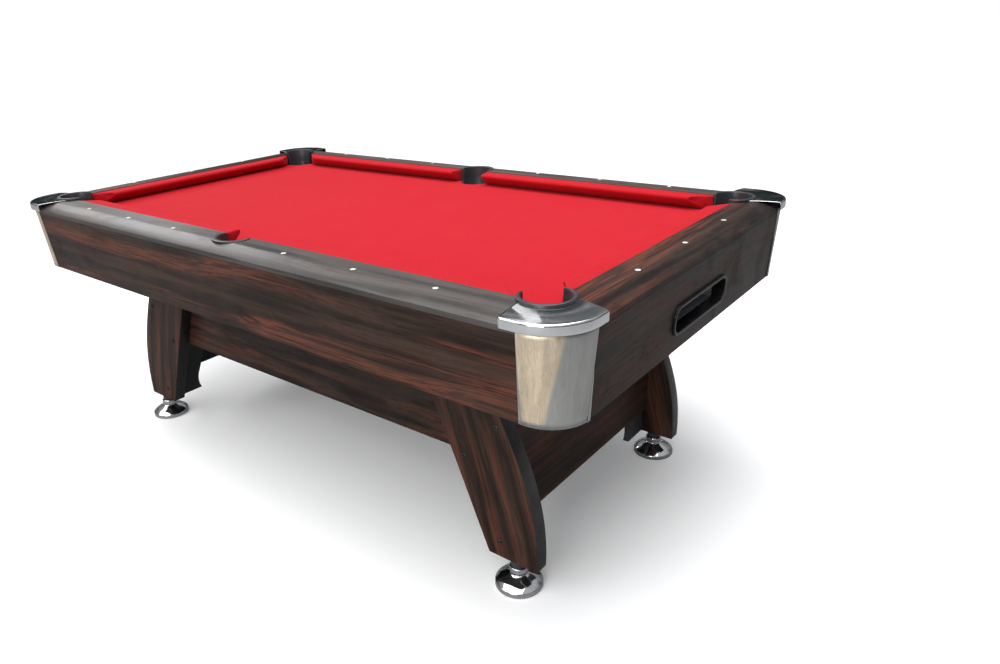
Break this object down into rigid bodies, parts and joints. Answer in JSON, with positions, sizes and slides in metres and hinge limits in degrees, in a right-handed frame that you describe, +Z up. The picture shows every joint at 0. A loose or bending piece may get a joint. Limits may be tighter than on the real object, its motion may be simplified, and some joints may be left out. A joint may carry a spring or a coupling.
{
  "type": "pool table",
  "caption": "Seven-foot pool table with red cloth, walnut-grain cabinet on splayed panel legs, metal corners, pockets that feed an end ball return, and screw-adjusted round feet.",
  "frame": {"origin": "on the floor under the middle of the table", "axes": "+X along the table towards the ball-return end, +Y to the back long side, +Z up"},
  "size_m": [2.124, 1.23, 0.8205],
  "materials": {
    "walnut_laminate": "satin",
    "red_cloth": "matte",
    "chrome_plate": "mirror",
    "brushed_sheet": "brushed",
    "black_plastic": "satin",
    "pearl_plastic": "gloss",
    "raw_board": "matte",
    "zinc_steel": "satin",
    "black_steel": "satin",
    "pad_rubber": "matte"
  },
  "bodies": {
    "table": {"rail_front": "walnut_laminate", "rail_back": "walnut_laminate", "rail_head_end": "walnut_laminate", "rail_return_end": "walnut_laminate", "cushion_front_head": "red_cloth", "cushion_front_return": "red_cloth", "cushion_back_head": "red_cloth", "cushion_back_return": "red_cloth", "cushion_head_end": "red_cloth", "cushion_return_end": "red_cloth", "sights": "pearl_plastic", "rail_bolts": "zinc_steel", "bed_board": "raw_board", "bed_cloth": "red_cloth", "bed_frame": "raw_board", "apron_front": "walnut_laminate", "apron_back": "walnut_laminate", "apron_head_end": "walnut_laminate", "apron_return_end": "walnut_laminate", "corner_posts": "raw_board", "cabinet_floor": "raw_board", "corner_trims": "brushed_sheet", "corner_cap_front_head": "chrome_plate", "corner_pocket_front_head": "black_plastic", "corner_cap_front_return": "chrome_plate", "corner_pocket_front_return": "black_plastic", "corner_cap_back_head": "chrome_plate", "corner_pocket_back_head": "black_plastic", "corner_cap_back_return": "chrome_plate", "corner_pocket_back_return": "black_plastic", "side_pocket_front": "black_plastic", "side_pocket_back": "black_plastic", "return_bezel": "black_plastic", "ball_tray": "black_plastic", "ball_runway_front": "black_plastic", "ball_runway_back": "black_plastic", "leg_front_head": "walnut_laminate", "leg_front_return": "walnut_laminate", "leg_back_head": "walnut_laminate", "leg_back_return": "walnut_laminate", "leg_inner_panels": "walnut_laminate", "leveller_bushes": "black_plastic", "leg_bolts": "black_steel", "leg_brackets": "zinc_steel", "skirt_front": "walnut_laminate", "skirt_back": "walnut_laminate", "skirt_head_end": "walnut_laminate", "skirt_return_end": "walnut_laminate"},
    "pad_front_head": {"foot_pad_front_head": "pad_rubber"},
    "foot_front_head": {"foot_dome_front_head": "chrome_plate", "foot_stem_front_head": "zinc_steel"},
    "pad_front_return": {"foot_pad_front_return": "pad_rubber"},
    "foot_front_return": {"foot_dome_front_return": "chrome_plate", "foot_stem_front_return": "zinc_steel"},
    "pad_back_head": {"foot_pad_back_head": "pad_rubber"},
    "foot_back_head": {"foot_dome_back_head": "chrome_plate", "foot_stem_back_head": "zinc_steel"},
    "pad_back_return": {"foot_pad_back_return": "pad_rubber"},
    "foot_back_return": {"foot_dome_back_return": "chrome_plate", "foot_stem_back_return": "zinc_steel"}
  },
  "joints": [
    {"name": "raise_front_head", "type": "slide", "parent": "table", "child": "pad_front_head", "axis": [0, 0, -1], "range_m": [0, 0.02]},
    {"name": "turn_front_head", "type": "hinge", "parent": "pad_front_head", "child": "foot_front_head", "pos_m": [-0.78, -0.375, 0.03], "axis": [0, 0, -1], "range_deg": [0, 3600]},
    {"name": "raise_front_return", "type": "slide", "parent": "table", "child": "pad_front_return", "axis": [0, 0, -1], "range_m": [0, 0.02]},
    {"name": "turn_front_return", "type": "hinge", "parent": "pad_front_return", "child": "foot_front_return", "pos_m": [0.78, -0.375, 0.03], "axis": [0, 0, -1], "range_deg": [0, 3600]},
    {"name": "raise_back_head", "type": "slide", "parent": "table", "child": "pad_back_head", "axis": [0, 0, -1], "range_m": [0, 0.02]},
    {"name": "turn_back_head", "type": "hinge", "parent": "pad_back_head", "child": "foot_back_head", "pos_m": [-0.78, 0.375, 0.03], "axis": [0, 0, -1], "range_deg": [0, 3600]},
    {"name": "raise_back_return", "type": "slide", "parent": "table", "child": "pad_back_return", "axis": [0, 0, -1], "range_m": [0, 0.02]},
    {"name": "turn_back_return", "type": "hinge", "parent": "pad_back_return", "child": "foot_back_return", "pos_m": [0.78, 0.375, 0.03], "axis": [0, 0, -1], "range_deg": [0, 3600]}
  ],
  "couplings": [
    {"joint": "raise_front_head", "follows": "turn_front_head", "m_per_rad": 0.00031831},
    {"joint": "raise_front_return", "follows": "turn_front_return", "m_per_rad": 0.00031831},
    {"joint": "raise_back_head", "follows": "turn_back_head", "m_per_rad": 0.00031831},
    {"joint": "raise_back_return", "follows": "turn_back_return", "m_per_rad": 0.00031831}
  ]
}
